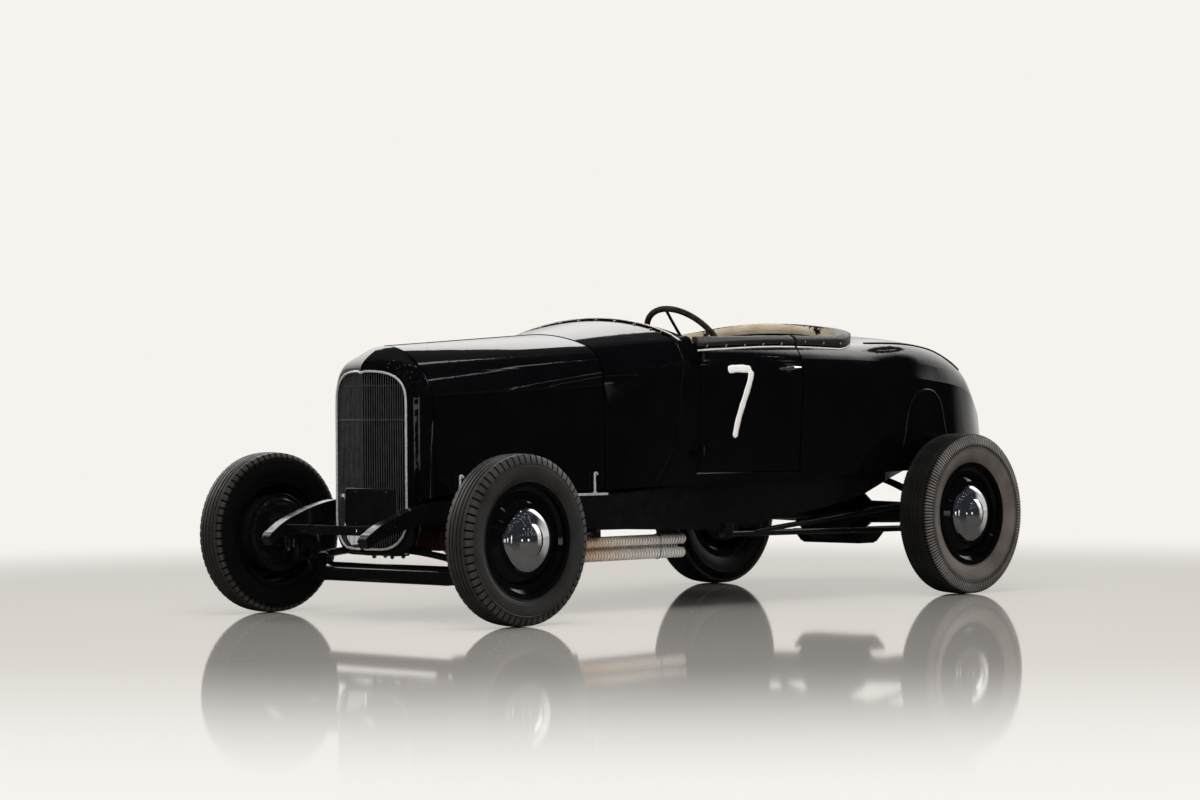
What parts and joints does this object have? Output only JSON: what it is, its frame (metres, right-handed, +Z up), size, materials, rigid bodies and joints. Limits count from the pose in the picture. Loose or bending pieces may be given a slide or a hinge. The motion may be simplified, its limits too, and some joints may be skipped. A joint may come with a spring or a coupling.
{
  "type": "hot rod roadster",
  "caption": "Open two-seat hot rod roadster on a ladder frame, with opening doors, hood halves and deck lid, steering front wheels and rolling wheels.",
  "frame": {"origin": "on the floor, under the middle of the car's overall length and width", "axes": "+X to the car's left, +Y to its rear, +Z up; the car faces -Y"},
  "size_m": [1.634, 3.694, 1.2336],
  "materials": {
    "black_paint": "gloss black enamel",
    "black_frame": "semi-gloss black enamel",
    "tyre": "worn rubber",
    "chrome": "polished chrome",
    "cast_iron": "rough casting",
    "steel": "bare flexible steel",
    "maroon": "maroon engine enamel",
    "leather_black": "stuffed black leather",
    "leather_seat": "tan leather",
    "plate": "blank embossed plate",
    "cord_rim": "cord-wrapped rim",
    "floor": "painted boards"
  },
  "bodies": {
    "chassis": {"body_tub": "black_paint", "coaming_rear": "leather_black", "cowl": "black_paint", "crossmembers": "black_frame", "engine": "maroon", "exhausts": "steel", "floor": "floor", "front_axle": "black_frame", "front_spring": "black_frame", "grille": "black_paint", "grille_shell": "black_paint", "hood_hinge": "black_paint", "ladder_bars": "black_frame", "licence_plate": "plate", "radiator": "cast_iron", "radius_rods": "black_frame", "rear_axle": "black_frame", "rear_spring": "black_frame", "seat_back": "leather_seat", "seat_cushion": "leather_seat", "side_rails": "black_frame", "spreader_bar": "black_frame", "steering_column": "black_frame"},
    "steering_knuckle_left": {"knuckle_left": "black_frame"},
    "steering_knuckle_right": {"knuckle_right": "black_frame"},
    "track_rod": {"tie_rod": "black_frame"},
    "road_wheel_front_left": {"tyre_front_left": "tyre", "wheel_front_left": "black_paint", "hub_cap_front_left": "chrome", "drum_front_left": "cast_iron"},
    "road_wheel_front_right": {"tyre_front_right": "tyre", "wheel_front_right": "black_paint", "hub_cap_front_right": "chrome", "drum_front_right": "cast_iron"},
    "road_wheel_rear_left": {"tyre_rear_left": "tyre", "wheel_rear_left": "black_paint", "hub_cap_rear_left": "chrome", "drum_rear_left": "cast_iron"},
    "road_wheel_rear_right": {"tyre_rear_right": "tyre", "wheel_rear_right": "black_paint", "hub_cap_rear_right": "chrome", "drum_rear_right": "cast_iron"},
    "steering_wheel_body": {"steering_wheel": "cord_rim"},
    "hood_half_left": {"hood_left": "black_paint"},
    "hood_half_right": {"hood_right": "black_paint"},
    "left_door": {"door_left": "black_paint", "coaming_door_left": "leather_black", "door_handle_left": "chrome"},
    "right_door": {"door_right": "black_paint", "coaming_door_right": "leather_black", "door_handle_right": "chrome"},
    "trunk_lid": {"deck_lid": "black_paint"}
  },
  "joints": [
    {"name": "steer_left", "type": "hinge", "parent": "chassis", "child": "steering_knuckle_left", "pos_m": [0.603, -1.448, 0.324], "axis": [0, 0, 1], "range_deg": [-28, 28]},
    {"name": "steer_right", "type": "hinge", "parent": "chassis", "child": "steering_knuckle_right", "pos_m": [-0.603, -1.448, 0.324], "axis": [0, 0, 1], "range_deg": [-28, 28]},
    {"name": "track_rod_swing", "type": "hinge", "parent": "steering_knuckle_left", "child": "track_rod", "pos_m": [0.603, -1.323, 0.195], "axis": [0, 0, 1], "range_deg": [-28, 28]},
    {"name": "steering_wheel_turn", "type": "hinge", "parent": "chassis", "child": "steering_wheel_body", "pos_m": [0.33, -0.092, 1.079], "axis": [0, 0.766, 0.6428], "range_deg": [-350, 350]},
    {"name": "wheel_spin_front_left", "type": "hinge", "parent": "steering_knuckle_left", "child": "road_wheel_front_left", "pos_m": [0.715, -1.448, 0.324], "axis": [1, 0, 0], "continuous": true},
    {"name": "wheel_spin_front_right", "type": "hinge", "parent": "steering_knuckle_right", "child": "road_wheel_front_right", "pos_m": [-0.715, -1.448, 0.324], "axis": [1, 0, 0], "continuous": true},
    {"name": "wheel_spin_rear_left", "type": "hinge", "parent": "chassis", "child": "road_wheel_rear_left", "pos_m": [0.721, 1.244, 0.348], "axis": [1, 0, 0], "continuous": true},
    {"name": "wheel_spin_rear_right", "type": "hinge", "parent": "chassis", "child": "road_wheel_rear_right", "pos_m": [-0.721, 1.244, 0.348], "axis": [1, 0, 0], "continuous": true},
    {"name": "hood_lift_left", "type": "hinge", "parent": "chassis", "child": "hood_half_left", "pos_m": [0, -1.463, 1.063], "axis": [0, -0.9978, -0.0661], "range_deg": [0, 60]},
    {"name": "hood_lift_right", "type": "hinge", "parent": "chassis", "child": "hood_half_right", "pos_m": [0, -1.463, 1.063], "axis": [0, 0.9978, 0.0661], "range_deg": [0, 60]},
    {"name": "door_swing_left", "type": "hinge", "parent": "chassis", "child": "left_door", "pos_m": [0.612, -0.298, 0.8], "axis": [0, 0, -1], "range_deg": [0, 65]},
    {"name": "door_swing_right", "type": "hinge", "parent": "chassis", "child": "right_door", "pos_m": [-0.612, -0.298, 0.8], "axis": [0, 0, 1], "range_deg": [0, 65]},
    {"name": "deck_lid_lift", "type": "hinge", "parent": "chassis", "child": "trunk_lid", "pos_m": [0, 0.8942, 1.13473], "axis": [1, 0, 0], "range_deg": [0, 50]}
  ],
  "couplings": [
    {"joint": "steer_right", "follows": "steer_left", "ratio": 1},
    {"joint": "track_rod_swing", "follows": "steer_left", "ratio": -1},
    {"joint": "steering_wheel_turn", "follows": "steer_left", "ratio": 12.5}
  ]
}
